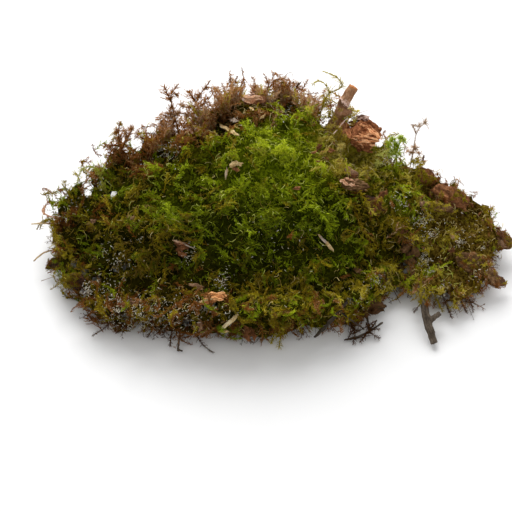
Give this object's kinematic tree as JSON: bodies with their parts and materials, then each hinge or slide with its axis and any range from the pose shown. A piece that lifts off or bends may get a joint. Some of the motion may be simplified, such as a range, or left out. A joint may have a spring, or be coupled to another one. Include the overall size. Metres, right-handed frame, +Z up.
{
  "type": "moss clump",
  "caption": "Torn clump of woodland feather moss on a flat base, with a cut twig, bark flakes, rotten wood and wood splinters caught in it.",
  "frame": {"origin": "middle of the base of the clump's box, on the plane that it rests on", "axes": "+X along the clump's length towards the thin bark-covered lobe, +Y towards the high back rim, +Z up"},
  "size_m": [0.185, 0.1042, 0.0552],
  "materials": {
    "moss": "leafy, slightly glossy shoots",
    "old_moss": "dry leafy shoots",
    "bright_moss": "fresh leafy shoots",
    "dry_stem": "dry, matte",
    "bark": "rough bark and dead leaf",
    "twig": "matte bark",
    "rotten_wood": "crumbly, matte",
    "pale_wood": "torn grain, matte",
    "straw": "dry, matte"
  },
  "bodies": {
    "root": {"moss_mat": "moss", "sprig_left": "old_moss", "sprig_far_left": "old_moss", "sprig_back_left": "old_moss", "sprig_back_left_short": "old_moss", "sprig_back_right": "old_moss", "sprig_bright_green": "bright_moss", "dry_seed_head": "dry_stem", "cut_twig": "twig", "forked_twig": "twig", "front_twig": "twig", "front_thin_twig": "twig", "front_low_twig": "twig", "left_twiglet": "twig", "bark_chip_back": "bark", "bark_flake_centre": "bark", "bark_flake_low": "bark", "dead_leaf_centre": "bark", "bark_flake_right_back": "bark", "bark_flake_ridge": "bark", "bark_strip_right": "bark", "bark_flake_tip": "bark", "bark_flake_right_front": "bark", "bark_flake_right_low": "bark", "dead_leaf_front": "bark", "dead_leaf_left": "bark", "dead_leaf_left_low": "bark", "splinter_back": "pale_wood", "splinter_centre": "pale_wood", "splinter_front": "pale_wood", "splinter_front_low": "pale_wood", "curled_flake": "pale_wood", "wood_chip_back": "pale_wood", "wood_chip_front": "pale_wood", "splinter_thin": "pale_wood", "straw_left": "straw", "straw_left_husk": "straw", "straw_left_low": "straw", "rotten_wood": "rotten_wood"}
  },
  "joints": []
}
